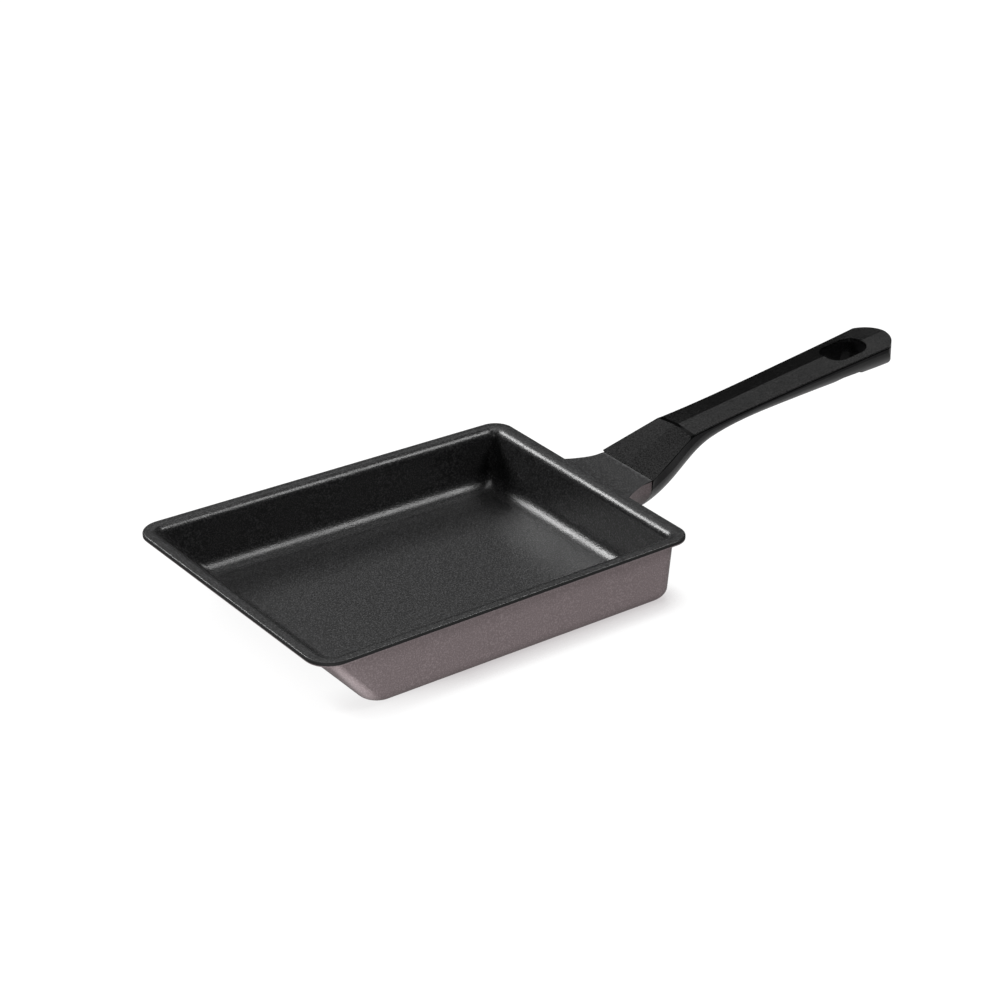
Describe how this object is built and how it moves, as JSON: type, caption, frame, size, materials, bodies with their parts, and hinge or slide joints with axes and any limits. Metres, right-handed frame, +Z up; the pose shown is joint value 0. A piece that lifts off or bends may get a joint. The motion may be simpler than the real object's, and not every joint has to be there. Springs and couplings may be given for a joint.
{
  "type": "tamagoyaki pan",
  "caption": "Rectangular rolled-omelette pan with a sloped far end, a wide rim, a moulded handle on a cast bracket and a hanging hole in the grip.",
  "frame": {"origin": "middle of the base outline, on the surface that the pan stands on", "axes": "+X from the sloped far end towards the handle, +Y across the pan, +Z up out of the pan's mouth"},
  "size_m": [0.3591, 0.1486, 0.0573],
  "materials": {
    "pan_coating": "die-cast aluminium: matte speckled taupe coat outside, dark satin non-stick coat inside and on top of the rim and bracket",
    "handle_gloss": "smooth black phenolic moulding with a soft gloss",
    "handle_matte": "black panel with a fine matte texture",
    "steel": "plain bright zinc-plated steel"
  },
  "bodies": {
    "root": {"pan_body": "pan_coating", "handle_body": "handle_gloss", "handle_cover": "handle_matte", "fixing_screw": "steel", "spring_washer": "steel", "flat_washer": "steel"}
  },
  "joints": []
}
